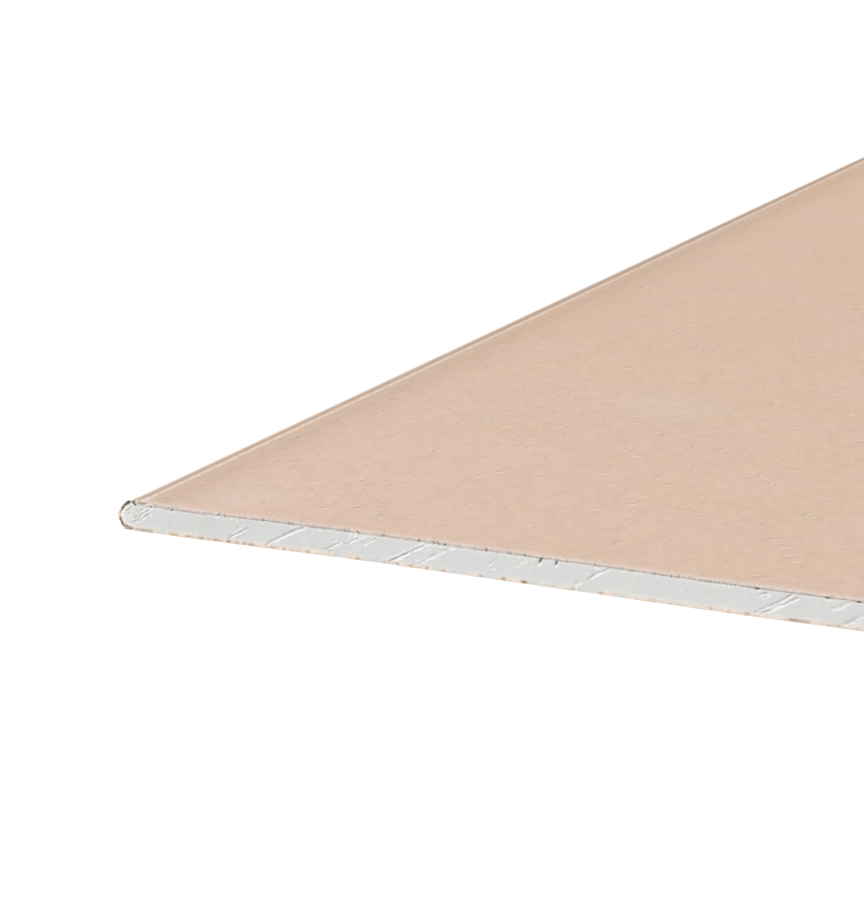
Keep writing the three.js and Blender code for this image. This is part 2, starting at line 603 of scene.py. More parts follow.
# -------------------- gypsum core

CORE_MARKS = ("shade", "powder_and_highlight", "fibres")

# One of the two cuts of the core: its end along Y, its marks, the first seed of its noise, how many rows
# of points it has and whether its columns are fine.
Cut = namedtuple("Cut", "end grooves ridges nicks seed rows fine")

# How far apart the two columns of points at a flap's step are, which is how steep the step is.
FLAP_STEP = 0.01 * MM


def core_columns(fine):
    """Places across the core, closer together round its edges, with a pair at each flap's step."""
    turns = np.linspace(0, math.pi / 2, 26 if fine else 12)
    edge = edge_centre + core_radius * np.sin(turns)
    left_pitch = fine_pitch if fine else rough_pitch
    middle = spread(
        (-edge_centre, left_pitch), (-flap_end - FLAP_STEP, left_pitch), (-flap_end, left_pitch),
        (-ramp_end, left_pitch), (-half_width + fine_reach, rough_pitch), (ramp_end, rough_pitch),
        (flap_end, rough_pitch), (flap_end + FLAP_STEP, rough_pitch), (edge_centre, rough_pitch),
    )
    return np.concatenate((-edge[:0:-1], middle, edge[1:]))


def core_heights(x):
    """Lowest and highest point of the core at places across it."""
    past = np.clip(np.abs(x) - edge_centre, 0, core_radius)
    rise = np.sqrt(np.maximum(core_radius ** 2 - past ** 2, 0))
    under_flap = board_thickness - face_thickness
    wedge = smoothstep(ramp_end, flap_end, np.abs(x)) * back_thickness
    field = board_thickness - back_thickness + wedge
    at_flap = np.abs(x) > flap_end + 0.5 * FLAP_STEP
    top = np.where(at_flap, under_flap, field)
    top = np.where(np.abs(x) > edge_centre, edge_radius + rise, top)
    return edge_radius - rise, top


def wrap_gap(x, z):
    """Where the wrap has come away round the near left edge: the gap there, painted as shade, and the pale
    strip inside it, painted as plaster dust and highlight.
    """
    out = -edge_centre - x
    from_wrap = (core_radius - np.hypot(out, z - edge_radius)) / MM
    turned = np.degrees(np.arctan2(out, z - edge_radius))
    open_above = window(turned, 8, 16, 66, 82)
    open_below = 0.5 * window(turned, 99, 107, 150, 178)
    strength = np.where(out > 0, 0.75 * open_above + open_below, 0)
    strength = strength * (0.85 + 0.25 * wobble(turned * 0.1 * MM, 1.1 * MM, 37))
    pale_strip = smoothstep(0, 20, turned) * (1 - 0.7 * smoothstep(95, 130, turned))
    pale_strip = np.where(out > -0.6 * MM, pale_strip, 0)
    return strength * bell(from_wrap, 0.0, 0.9 + 0.4 * open_above), pale_strip * bell(from_wrap, 1.7, 0.5)


def gap_under_back(x, to_top, end, seed):
    """The gap between the core and the back paper: its depth below the core's top, and its strength."""
    crumbled = 0.61 + 0.17 * wobble(x, 0.9 * MM, seed + 2) + 0.08 * wobble(x, 4.3 * MM, seed + 3)
    sunk, breadth = FAR_GAP
    if end < 0:
        knots, drops, breadths = zip(*GAPS)
        sunk = np.interp(from_corner(x), knots, drops)
        breadth = np.interp(from_corner(x), knots, breadths)
    sunk = sunk + 0.12 * wobble(x, 3.1 * MM, seed + 7)
    under_flap = smoothstep(half_width - 15 * MM, half_width - 13 * MM, np.abs(x))
    opened = bell(to_top, sunk, breadth - 0.08 + 0.14 * crumbled)
    return sunk, opened * crumbled * (1 - 0.6 * under_flap)


def cut_face_row(x, low, high, share, cut):
    """One level row of a cut face of the core: its points and marks."""
    seed = cut.seed
    z = low + (high - low) * share
    to_top = (high - z) / MM
    to_floor = (z - low) / MM
    tall = smoothstep(2, 7, (high - low) / MM)
    grain = 0.05 * mottle(x, z, 1.1 * MM, seed) + 0.06 * mottle(x, z, 3.2 * MM, seed + 1)
    groove = drawn_strokes(x, z, cut.grooves, GROOVE_WIDTH, seed + 9)
    ridge = drawn_strokes(x, z, cut.ridges, RIDGE_WIDTH, seed + 12)
    sunk, gap = gap_under_back(x, to_top, cut.end, seed)
    gap = gap * tall
    foot_gap = np.exp(-to_floor / 0.3) * np.clip(0.3 + 0.7 * wobble(x, 1.7 * MM, seed + 4), 0, 1) * tall
    hollow, chip = nicked(x, to_top, cut.nicks)
    chip = chip + smoothstep(0.6, 0.95, wobble(x, 1.3 * MM, seed + 8)) * bell(to_top, 1.5, 0.3)
    smeared = 0.90 + 0.30 * wobble(x, 7 * MM, seed + 5)
    if cut.end < 0:
        place = from_corner(x)
        loose, pale_strip = wrap_gap(x, z)
        hollow = hollow + loose
        chip = chip + 1.6 * pale_strip
        foot_gap = foot_gap + 2.2 * edge_dashes(place) * bell(to_floor, 0.35, 0.5) * tall
        ragged = place + 1.1 * mottle(x, z, 1.3 * MM, seed + 15)
        smeared = smeared * (1 - plastered(ragged)) * (1.1 - 0.4 * smoothstep(110, 150, place))
    depth = GROOVE_DEPTH * groove - RIDGE_HEIGHT * ridge + grain
    depth = depth + GAP_DEPTH * gap + FOOT_GAP_DEPTH * foot_gap + NICK_DEPTH * hollow - CHIP_HEIGHT * chip
    # Painted shade: the grooves, the gap under the back paper, the gap and dashes at the foot, the nicks and
    # the wrap's gap are darkened in colour as well as cut in.
    shade = np.clip(0.64 * groove + 0.68 * gap + 0.25 * foot_gap + hollow, 0, 1)
    # Plaster dust, with a painted highlight on the ridges' lit side and on the strip inside the wrap's gap.
    powder_and_highlight = np.clip(1.45 * ridge + 0.9 * chip, 0, 1) * (1 - shade)
    at_foot = 1 - smoothstep(0.9, 2.7, to_floor + 0.3 * wobble(x, 5 * MM, seed + 6))
    at_top = 1 - smoothstep(sunk - 0.45, sunk - 0.05, to_top)
    fibres = 0.8 * smeared * at_foot + at_top + 0.22 * bell(to_top, sunk + 0.9, 0.55) * tall
    points = joined(x, cut_y(x, z, cut.end) - cut.end * depth * MM, z)
    return points, np.stack((shade, powder_and_highlight, np.clip(fibres, 0, 1)), axis=1)


def make_core():
    """The core: rows up the near cut, then down the far one, each stitched to the next."""
    pits = [(place, *ROW_PIT) for place in np.arange(*PIT_ROW)]
    more_grooves = random_grooves(seed=5, first=300, last=1240)
    near_grooves = [*GROOVES, *more_grooves]
    near_ridges = [*RIDGES, *ridges_beside(more_grooves)]
    near_nicks = [*NICKS, *pits, *random_nicks(seed=7, first=300, last=1240)]
    far_grooves = random_grooves(seed=6, first=4, last=1240)
    far_ridges = ridges_beside(far_grooves)
    far_nicks = random_nicks(seed=8, first=6, last=1244)
    shell = Shell()
    rows = []
    for cut in (
        Cut(-1, near_grooves, near_ridges, near_nicks, seed=20, rows=46, fine=True),
        Cut(1, far_grooves, far_ridges, far_nicks, seed=40, rows=16, fine=False),
    ):
        columns = core_columns(cut.fine)
        low, high = core_heights(columns)
        level = np.linspace(0, 1, cut.rows)
        shares = 0.5 * level + 0.25 * (1 - np.cos(math.pi * level))
        for share in shares[::-cut.end]:
            points, marks = cut_face_row(columns, low, high, share, cut)
            rows.append(shell.row(columns, points, marks))
    shell.stitch_round(rows)
    return shell.finish("sawn_core", CORE_MARKS, math.radians(50))


# -------------------- papers

PAPER_MARKS = ("cut_edge", "from_cut", "wear_and_highlight", "shade_and_darkening", "plaster")

# Rows of a paper in from its cut, in millimetres, and rows down its cut edge as shares of its thickness.
RIM_ROWS = (0.0, 0.18, 0.45, 0.9, 1.8, 4.0, 12.0)
EDGE_ROWS = (0.35, 0.7)

# The height that no rucked-up paper passes.
TALLEST = back_high[2] + 0.25 * MM

# A paper: the path that it follows, its wear, its thickness, the first seed of its noise and how much of
# the saw's burr its rim has.
Liner = namedtuple("Liner", "path wear thickness seed burr")


def rim_lift(along, seed):
    """How far a paper's cut arris is rucked up from the board, in millimetres."""
    lift = 0.36 + 0.2 * wobble(along, 1.3 * MM, seed) + 0.18 * wobble(along, 6 * MM, seed + 1)
    return np.clip(lift, 0, 0.8)


def rim_tear(along, seed):
    """How far a paper's cut arris stands out past the core's face, in millimetres."""
    return 0.08 + 0.2 * wobble(along, 0.8 * MM, seed + 2) + 0.18 * wobble(along, 3.1 * MM, seed + 3)


def rim_nicks(x):
    """Strength of the nicks that reach up through the back paper's near cut edge."""
    reaching = 0.8
    first = 25
    strength = np.zeros_like(x)
    place = from_corner(x)
    for centre, drop, width, _, lean, depth in NICKS:
        if drop < reaching and centre > first:
            strength = strength + depth * bell(place, centre - lean * (drop + 0.2), 0.8 * width)
    return strength


def lap_wear(along, distance, depth, near):
    """Wear on the back paper: its cut arris brushed pale, and painted shade down its cut edge, darkest at its
    underside, at the joint over the flap and where nicks reach up through it.
    """
    full = np.ones_like(along)
    brushed = bell(distance, 0, 1.6) * (0.75 + 0.25 * wobble(along, 2.2 * MM, 31))
    joint = smoothstep(half_width - 15.5 * MM, half_width - 14 * MM, np.abs(along))
    # Painted shade down the cut edge, darkest at the underside and at the joint over the flap.
    shade_and_darkening = depth ** 2 * (0.35 + 0.5 * joint + 0.2 * wobble(along, 3 * MM, 32)) * full
    if near:
        shade_and_darkening = shade_and_darkening + rim_nicks(along) * bell(distance, 0, 0.35)
    return brushed * full, np.clip(shade_and_darkening, 0, 1), 0 * full


def wrap_wear(along, distance, depth, near):
    """Wear, painted highlight and darkening on the face paper: a painted highlight on the top of each round
    edge, paler near a cut, dark round the near left edge, painted shade in the notch at the flap, and dashes
    along the rest of a cut.
    """
    fade = bell(distance, 0, 0.7)
    on_left = degrees_round(along)
    place = (along - flap_run - turn_run + edge_radius) / MM
    on_flap = (half_width - flap_end - along) / MM
    if near:
        darkened = window(on_left, 8, 14, 58, 80)
        lower_arc_darkened = window(on_left, 99, 108, 165, 190)
        flap_strip_darkened = window(on_flap, 8, 9.5, 13, 14.5)
        shade_and_darkening = 0.78 * darkened + 0.48 * lower_arc_darkened + 0.42 * flap_strip_darkened
        dashes = edge_dashes(place) * smoothstep(165, 185, on_left) * (0.05 + 0.6 * depth)
        shade_and_darkening = (shade_and_darkening * (0.85 + 0.25 * wobble(along, 2 * MM, 35)) + dashes) * fade
        # Painted shade in the notch at the flap's cut edge.
        shade_and_darkening = shade_and_darkening + 1.2 * bell(on_flap, *FLAP_NOTCH) * bell(distance, 0, 1.2)
        plaster = plastered(place) * fade
    else:
        shade_and_darkening = 0.6 * fade * smoothstep(0.1, 0.7, wobble(along, 2.3 * MM, 36))
        plaster = np.zeros_like(along)
    turned = degrees_round(np.minimum(along, wrap_run - along))
    flap = 1 - smoothstep(0, 8, turned)
    # Painted highlight: the top of each round edge is paler, fading down its side, where the light falls on
    # it.
    round_top_highlight = 1 - 0.6 * smoothstep(32, 75, turned) - 0.2 * smoothstep(75, 165, turned)
    round_top_highlight = smoothstep(-9, 20, turned) * round_top_highlight
    pale = fade * (flap + 0.35 * bell(turned, 92, 12) + 0.3 * smoothstep(168, 178, turned))
    pale = np.maximum(pale, 0.6 * flap * bell(distance, 0, 3.5))
    return np.maximum(round_top_highlight, pale), np.clip(shade_and_darkening, 0, 1), plaster


BACK = Liner(back_path, lap_wear, back_thickness, seed=60, burr=1.0)
FACE = Liner(wrap_path, wrap_wear, face_thickness, seed=80, burr=0.0)


def rim_points(liner, columns, end, distance, depth):
    """Points along a paper near its cut: how far in from it, and how deep as a share of the thickness."""
    seam = liner.seed if end < 0 else liner.seed + 10
    lift = rim_lift(columns, seam) * liner.burr * math.exp(-distance / 0.6) * (1 - 0.9 * depth)
    if liner is FACE and end < 0:
        turned = degrees_round(columns)
        held = 1 - depth * bell(turned, 92, 13)
        lift = lift + np.interp(turned, *zip(*FLARE)) * math.exp(-distance / 3.5) * held
    x, z = liner.path(columns, depth * liner.thickness - lift * MM)
    z = np.clip(z, 0, TALLEST - depth * liner.thickness)
    tear = rim_tear(columns, seam) * math.exp(-distance / 0.4) * (1 - 0.6 * depth)
    if liner.burr and end < 0:
        tear = tear - 0.6 * rim_nicks(columns) * math.exp(-distance / 0.3)
    flat_end = near_y if end < 0 else far_y
    wander = (cut_y(x, z, end) - flat_end) * (1 - distance / RIM_ROWS[-1])
    return joined(x, flat_end + wander - end * (distance - tear) * MM, z)


def paper_rows(shell, liner, fine, coarse, sparse):
    """Rows over a paper's outside from the near cut to the far one, then back round and over its inside."""
    whole = RIM_ROWS[-1]
    stations = np.arange(near_y + whole * MM + station_pitch, far_y - whole * MM, station_pitch)

    def row(columns, points, cut, distance, depth, near):
        full = np.ones_like(columns)
        wear = liner.wear(columns, distance, depth, near)
        return shell.row(columns, points, np.stack((cut * full, distance * full, *wear), axis=1))

    def rim_row(end, distance, depth, cut):
        columns = fine if end < 0 else coarse
        points = rim_points(liner, columns, end, distance, depth)
        return row(columns, points, cut, distance, depth, end < 0)

    def body_row(y, depth):
        x, z = liner.path(sparse, depth * liner.thickness)
        return row(sparse, joined(x, y, z), 0, whole, depth, False)

    outside = [rim_row(-1, distance, 0, 0.5 if distance == 0 else 0) for distance in RIM_ROWS]
    outside += [body_row(y, 0) for y in stations]
    outside += [rim_row(1, distance, 0, 0.5 if distance == 0 else 0) for distance in RIM_ROWS[::-1]]
    inside = [rim_row(-1, 0, depth, 1) for depth in EDGE_ROWS + (1,)]
    inside += [body_row(y, 1) for y in stations]
    inside += [rim_row(1, 0, depth, 1) for depth in (1,) + EDGE_ROWS[::-1]]
    return outside, inside


def make_paper(name, liner, fine, coarse, sparse):
    """A paper's mesh: fine columns by its near cut, coarse ones by its far cut and sparse ones between."""
    shell = Shell()
    outside, inside = paper_rows(shell, liner, fine, coarse, sparse)
    shell.stitch_round(outside + inside[::-1])
    shell.close_side(outside, inside, 0)
    shell.close_side(outside, inside, -1)
    return shell.finish(name, PAPER_MARKS, math.radians(40))


def make_back_paper():
    """The back paper, with columns closest on its ramps and by the corner that is seen closest."""
    arris = lap_start - 3.15 * MM
    lap_pitch = 2 * MM
    field_pitch = 60 * MM
    fine = spread(
        (-lap_start, fine_pitch), (-flap_end, fine_pitch), (-ramp_end, fine_pitch),
        (-lap_start + fine_reach, rough_pitch), (ramp_end, rough_pitch), (flap_end, rough_pitch),
        (lap_start, rough_pitch),
    )
    coarse = spread(
        (-lap_start, rough_pitch), (-flap_end, ramp_pitch), (-ramp_end, rough_pitch),
        (ramp_end, ramp_pitch), (flap_end, rough_pitch), (lap_start, rough_pitch),
    )
    sparse = spread(
        (-lap_start, fine_pitch), (-arris, lap_pitch), (-flap_end, ramp_pitch), (-ramp_end, field_pitch),
        (ramp_end, ramp_pitch), (flap_end, lap_pitch), (arris, fine_pitch), (lap_start, rough_pitch),
    )
    return make_paper("lapped_back_liner", BACK, fine, coarse, sparse)


def make_face_paper():
    """The face paper, with columns closest round its edges and by the corner that is seen closest."""
    left_end = flap_run + turn_run
    right_start = wrap_run - left_end
    right_flap = wrap_run - flap_run
    under_pitch = 80 * MM
    fine = spread(
        (0, fine_pitch), (flap_run, fine_pitch), (left_end, fine_pitch), (fine_reach, rough_pitch),
        (right_start, bend_pitch), (right_flap, rough_pitch), (wrap_run, rough_pitch),
    )
    coarse = spread(
        (0, rough_pitch), (flap_run, bend_pitch), (left_end, rough_pitch),
        (right_start, bend_pitch), (right_flap, rough_pitch), (wrap_run, rough_pitch),
    )
    sparse = spread(
        (0, bend_pitch), (left_end, under_pitch), (right_start, bend_pitch), (wrap_run, rough_pitch),
    )
    return make_paper("wrapped_face_liner", FACE, fine, coarse, sparse)


# -------------------- tools for node trees

class Value:
    """An output of a node, so that sums with it are written the way that they are read."""

    def __init__(self, socket):
        self.socket = socket
        self.tree = socket.id_data

    def __add__(self, other):
        return calc("ADD", self, other)

    def __sub__(self, other):
        return calc("SUBTRACT", self, other)

    def __rsub__(self, other):
        return calc("SUBTRACT", other, self)

    def __mul__(self, other):
        return calc("MULTIPLY", self, other)

    def __truediv__(self, other):
        return calc("DIVIDE", self, other)

    def __pow__(self, other):
        return calc("POWER", self, other)

    def __abs__(self):
        return calc("ABSOLUTE", self)


def feed(socket, source):
    """Links a socket to a node's output, or sets it to a plain value."""
    if isinstance(source, Value):
        source.tree.links.new(source.socket, socket)
    else:
        socket.default_value = source


def add_node(tree, kind, settings=None, **inputs):
    """A new node with its settings and its inputs, named with _ for each space."""
    node = tree.nodes.new(kind)
    for name, value in (settings or {}).items():
        setattr(node, name, value)
    for title, source in inputs.items():
        feed(node.inputs[title.replace("_", " ")], source)
    return node


def result_of(tree, kind, settings=None, **inputs):
    """The first output of a new node."""
    return Value(add_node(tree, kind, settings, **inputs).outputs[0])


def values_of(sockets):
    return {socket.name: Value(socket) for socket in sockets}


def tree_of(sources):
    """The tree of the first of some sources that is a node's output."""
    return next(source.tree for source in sources if isinstance(source, Value))


def calc(operation, *sources, clamp=False):
    node = add_node(tree_of(sources), "ShaderNodeMath", {"operation": operation, "use_clamp": clamp})
    for socket, source in zip(node.inputs, sources):
        feed(socket, source)
    return Value(node.outputs[0])


def vector_calc(operation, *sources, output="Vector"):
    node = add_node(tree_of(sources), "ShaderNodeVectorMath", {"operation": operation})
    for socket, source in zip(node.inputs, sources):
        feed(socket, source)
    return Value(node.outputs[output])


def vector_of(x=0.0, z=0.0):
    return result_of(tree_of((x, z)), "ShaderNodeCombineXYZ", X=x, Z=z)


def axes_of(vector):
    node = add_node(vector.tree, "ShaderNodeSeparateXYZ", Vector=vector)
    return [Value(socket) for socket in node.outputs]


# -------------------- torn fibres

FRINGE_PITCH = 0.6 * MM
FRINGE_DEPTHS = (0.15, 0.6)
FRINGE_SCATTER = (0.4 * MM, 0, 0.08 * MM)

# Limits of a fibre's turn, before the spread, and of its size.
FIBRE_TURN = (math.pi, 0.6, 1)
FIBRE_SIZES = ((0.25, 0.5, 0.25), (1, 1, 1))


def random_vector(tree, low, high, seed):
    """A vector drawn at random for each point, between two limits."""
    node = add_node(tree, "FunctionNodeRandomValue", {"data_type": "FLOAT_VECTOR"}, Seed=seed)
    feed(node.inputs[0], low)
    feed(node.inputs[1], high)
    return Value(node.outputs[0])


def either_way(limits):
    """The two ends of a draw that goes as far either way."""
    return tuple(-limit for limit in limits), limits


def point_mark(tree, name):
    return result_of(tree, "GeometryNodeInputNamedAttribute", Name=name)


def make_fibre(length, thickness):
    """One fibre along X, bent and thinning to its tip."""
    tree = length.tree
    bend = vector_of(x=length * 0.55)
    tip = vector_of(x=length, z=length * 0.45)
    line = result_of(
        tree, "GeometryNodeCurveQuadraticBezier", Resolution=3, Start=(0, 0, 0), Middle=bend, End=tip,
    )
    section = result_of(tree, "GeometryNodeCurvePrimitiveCircle", Resolution=3, Radius=thickness)
    along = result_of(tree, "GeometryNodeSplineParameter")
    return result_of(
        tree, "GeometryNodeCurveToMesh",
        Curve=line, Profile_Curve=section, Scale=1.0 - along * 0.75, Fill_Caps=True,
    )


def make_torn_fibres(finish):
    """Paper fibres that stand out of lines: bent, turned at random by up to the spread, of mixed lengths."""
    tree = bpy.data.node_groups.new("torn_fibres", "GeometryNodeTree")
    tree.is_modifier = True
    tree.interface.new_socket("Lines", in_out="INPUT", socket_type="NodeSocketGeometry")
    for title in ("Spacing", "Length", "Thickness", "Spread"):
        tree.interface.new_socket(title, in_out="INPUT", socket_type="NodeSocketFloat")
    tree.interface.new_socket("Fibres", in_out="OUTPUT", socket_type="NodeSocketGeometry")
    given = values_of(tree.nodes.new("NodeGroupInput").outputs)
    lines = result_of(tree, "GeometryNodeMeshToCurve", Mesh=given["Lines"])
    roots = result_of(
        tree, "GeometryNodeCurveToPoints", {"mode": "LENGTH"}, Curve=lines, Length=given["Spacing"],
    )
    scatter = random_vector(tree, *either_way(FRINGE_SCATTER), seed=1)
    scattered = result_of(tree, "GeometryNodeSetPosition", Geometry=roots, Offset=scatter)
    outwards = vector_of(z=point_mark(tree, "way") * (math.pi / 2))
    turns = random_vector(tree, *either_way(FIBRE_TURN), seed=2)
    sizes = random_vector(tree, *FIBRE_SIZES, seed=3)
    fibres = result_of(
        tree, "GeometryNodeInstanceOnPoints",
        Points=scattered,
        Instance=make_fibre(given["Length"], given["Thickness"]),
        Rotation=vector_calc("ADD", vector_calc("MULTIPLY", turns, given["Spread"]), outwards),
        Scale=vector_calc("MULTIPLY", sizes, point_mark(tree, "ragged")),
    )
    realized = result_of(tree, "GeometryNodeRealizeInstances", Geometry=fibres)
    painted = result_of(tree, "GeometryNodeSetMaterial", Geometry=realized, Material=finish)
    add_node(tree, "NodeGroupOutput", Fibres=painted)
    return tree


def fringe_lines(name, liner, columns):
    """Lines along both cuts of a paper, each marked with the way that its fibres stand out."""
    points = []
    edges = []
    ways = []
    ragged = []
    for end in (-1, 1):
        for depth in FRINGE_DEPTHS:
            start = len(ways)
            points.append(rim_points(liner, columns, end, 0.05, depth))
            edges.extend((start + i, start + i + 1) for i in range(len(columns) - 1))
            ways.extend([end] * len(columns))
            ragged.append(0.65 + 0.35 * wobble(columns, 4 * MM, liner.seed + end))
    mesh = bpy.data.meshes.new(name)
    mesh.from_pydata(np.concatenate(points).tolist(), edges, [])
    set_mark(mesh, "way", ways)
    set_mark(mesh, "ragged", np.concatenate(ragged))
    return mesh


def make_fringe(name, finish, liner, columns, sizes):
    """The torn fibres along both cuts of a paper, as one plain mesh."""
    fringe = bpy.data.objects.new(name, fringe_lines(name, liner, columns))
    bpy.context.scene.collection.objects.link(fringe)
    tree = make_torn_fibres(finish)
    growth = fringe.modifiers.new("torn_fibres", "NODES")
    growth.node_group = tree
    for socket in tree.interface.items_tree:
        if socket.in_out == "INPUT" and socket.name in sizes:
            growth[socket.identifier] = sizes[socket.name]
    bpy.context.view_layer.update()
    grown = fringe.evaluated_get(bpy.context.evaluated_depsgraph_get())
    plain = bpy.data.meshes.new_from_object(grown)
    fringe.modifiers.remove(growth)
    fringe.data = plain
    count = len(plain.vertices)
    places = np.empty(count * 3)
    plain.vertices.foreach_get("co", places)
    places[2::3] = np.clip(places[2::3], 0.03 * MM, TALLEST + 0.05 * MM)
    plain.vertices.foreach_set("co", places)
    for title, value in (("cut_edge", 1.0), ("wear_and_highlight", 1.0), ("from_cut", 3.0)):
        set_mark(plain, title, np.full(count, value))
    return fringe


# -------------------- shader tools

def ease(value, low, high):
    """0 below low, 1 above high and smooth between, or the other way round where low is the larger."""
    return result_of(
        value.tree, "ShaderNodeMapRange", {"interpolation_type": "SMOOTHSTEP"},
        Value=value,
        From_Min=min(low, high),
        From_Max=max(low, high),
        To_Min=0.0 if low < high else 1.0,
        To_Max=1.0 if low < high else 0.0,
    )


def larger(first, second):
    return calc("MAXIMUM", first, second)


def mixed(share, under, over):
    """One colour over another, as strong as its share."""
    node = add_node(share.tree, "ShaderNodeMix", {"data_type": "RGBA"})
    feed(node.inputs[0], share)
    feed(node.inputs[6], under)
    feed(node.inputs[7], over)
    return Value(node.outputs[2])


def noise(place, scale, detail=2.0, roughness=0.5, output="Fac"):
    """Smooth noise on the sheet, its scale in features per metre."""
    node = add_node(
        place.tree, "ShaderNodeTexNoise", Vector=place, Scale=scale, Detail=detail, Roughness=roughness,
    )
    return Value(node.outputs[output])


def cells(place, scale, dimensions="3D"):
    """Many scattered points: the nearest one's distance and place, and a number that each point draws."""
    node = add_node(
        place.tree, "ShaderNodeTexVoronoi", {"voronoi_dimensions": dimensions}, Vector=place, Scale=scale,
    )
    nearest = values_of(node.outputs)
    draw = result_of(place.tree, "ShaderNodeSeparateColor", Color=nearest["Color"])
    return nearest["Distance"], nearest["Position"], draw


def pressed_flecks(place, pitch, size):
    """Mask of scattered flecks, the side of a fleck that a point is on, and a number that each one draws."""
    distance, centre, draw = cells(place, pitch, "2D")
    _, aside, _ = axes_of(vector_calc("SUBTRACT", place, centre))
    side = ease(aside, -0.5 * size / pitch, 0.5 * size / pitch)
    return ease(distance, size * 1.1, size * 0.3), side, draw


def stretched(place, turn, length):
    """The place for a pattern on a level face: turned, and drawn out along that turn."""
    return result_of(
        place.tree, "ShaderNodeMapping", {"vector_type": "TEXTURE"},
        Vector=place, Rotation=(0, 0, math.radians(turn)), Scale=(length, 1, 1),
    )


def ruffled(place, scale, reach):
    """The place moved about by noise, so that what is drawn there has ragged outlines."""
    centred = vector_calc("SUBTRACT", noise(place, scale, output="Color"), (0.5, 0.5, 0.5))
    return vector_calc("ADD", place, vector_calc("MULTIPLY", centred, (reach, reach, reach)))


def distance_from(place, point):
    return vector_calc("DISTANCE", place, point, output="Value")


def mark(tree, name):
    return Value(add_node(tree, "ShaderNodeAttribute", {"attribute_name": name}).outputs["Fac"])


def place_on_sheet(tree):
    return Value(add_node(tree, "ShaderNodeTexCoord").outputs["Object"])


def new_group(name, numbers, results):
    """An empty shader node group that takes a place and some numbers, and what it is given."""
    tree = bpy.data.node_groups.new(name, "ShaderNodeTree")
    tree.interface.new_socket("Place", in_out="INPUT", socket_type="NodeSocketVector")
    for title in numbers:
        tree.interface.new_socket(title, in_out="INPUT", socket_type="NodeSocketFloat")
    for title in results:
        tree.interface.new_socket(title, in_out="OUTPUT", socket_type="NodeSocketFloat")
    return tree, values_of(tree.nodes.new("NodeGroupInput").outputs)


def use_group(group, place, **numbers):
    """What a group puts out at a place on the sheet, for this material's own numbers."""
    node = add_node(place.tree, "ShaderNodeGroup", {"node_tree": group}, Place=place, **numbers)
    return values_of(node.outputs)


def new_material(name):
    """An empty material and its node tree."""
    material = bpy.data.materials.new(name)
    material.use_nodes = True
    material.node_tree.nodes.clear()
    return material, material.node_tree


def finished(material, colour, roughness, specular, sheen=0.0, relief=None, relief_depth=0.0):
    """Closes a material: its shader, with a bump of the relief's depth for a height of 1."""
    tree = material.node_tree
    shader = add_node(
        tree, "ShaderNodeBsdfPrincipled",
        Base_Color=colour, Roughness=roughness, Specular_IOR_Level=specular, Sheen_Weight=sheen,
    )
    if relief is not None:
        bump = result_of(tree, "ShaderNodeBump", Strength=1.0, Distance=relief_depth, Height=relief)
        feed(shader.inputs["Normal"], bump)
    add_node(tree, "ShaderNodeOutputMaterial", Surface=Value(shader.outputs[0]))
    return material


# -------------------- shared effects

# Flecks of the waste in a liner, one set to a line: their turn from across the sheet in degrees, how
# many times as long as broad they are, cells per metre and half breadth as a share of a cell.
FLECKS = (
    (38, 1.6, 72, 0.150),
    (95, 4.0, 100, 0.095),
    (72, 2.4, 78, 0.130),
    (52, 2.6, 95, 0.120),
    (-8, 1.5, 86, 0.115),
)

# The way that the pulp's clouds and fibres run in a liner, in degrees from across the sheet.
CLOUD_TURN = 112
FIBRE_RUN = 98


def pulp_flecks(place):
    """Masks of the painted highlight on the lit sides and the painted shade on the shaded sides of a liner's
    flecks, some raised and some sunken.
    """
    ragged = ruffled(ruffled(place, scale=220, reach=0.004), scale=900, reach=0.0012)
    pale = dark = 0.0
    for turn, length, pitch, size in FLECKS:
        fleck, side, draw = pressed_flecks(stretched(ragged, turn, length), pitch, size)
        other_side = 1.0 - side
        raised = fleck * ease(draw, 0.80, 0.95)
        sunken = fleck * ease(draw, 0.20, 0.05)
        for lit, shaded, share in ((side, other_side, raised), (other_side, side, sunken)):
            pale = larger(pale, share * lit)
            dark = larger(dark, share * shaded)
    return pale, dark


def make_liner_stock():
    """Board liner made of waste paper: its tint, clouds of pulp, flecks with a painted highlight on one side
    and painted shade on the other, and their relief.
    """
    tree, given = new_group("liner_stock", ("Flecks",), ("Tint", "Cloud", "Pale", "Dark", "Relief"))
    place = given["Place"]
    wide = noise(place, 22, detail=3, roughness=0.55)
    narrow = noise(place, 95, detail=2, roughness=0.5)
    tint = ease(wide * 0.65 + narrow * 0.35, 0.38, 0.62)
    blotches = noise(stretched(place, CLOUD_TURN, 1.4), 150, detail=2.5, roughness=0.62)
    drift = noise(stretched(place, CLOUD_TURN, 2), 30, detail=3, roughness=0.6)
    speckle = noise(place, 500, detail=2.5, roughness=0.65)
    cloud = blotches * 0.34 + drift * 0.11 + speckle * 0.25
    pale, dark = [flecks * given["Flecks"] for flecks in pulp_flecks(place)]
    fibres = noise(stretched(place, FIBRE_RUN, 3), 1500, detail=3, roughness=0.6)
    relief = cloud * 0.8 + fibres * 0.22 + pale * 0.5 - dark * 0.5
    add_node(tree, "NodeGroupOutput", Tint=tint, Cloud=cloud, Pale=pale, Dark=dark, Relief=relief)
    return tree


def make_saw_dust():
    """White dust that the saw leaves on a paper, thick at the cut and gone at the reach, in millimetres."""
    tree, given = new_group("saw_dust", ("From Cut", "Reach"), ("Mask",))
    thickness = calc("SUBTRACT", 1.0, given["From Cut"] / given["Reach"], clamp=True) ** 1.6
    patches = ease(noise(given["Place"], 420, detail=4, roughness=0.6), 0.25, 0.65)
    add_node(tree, "NodeGroupOutput", Mask=thickness * patches)
    return tree


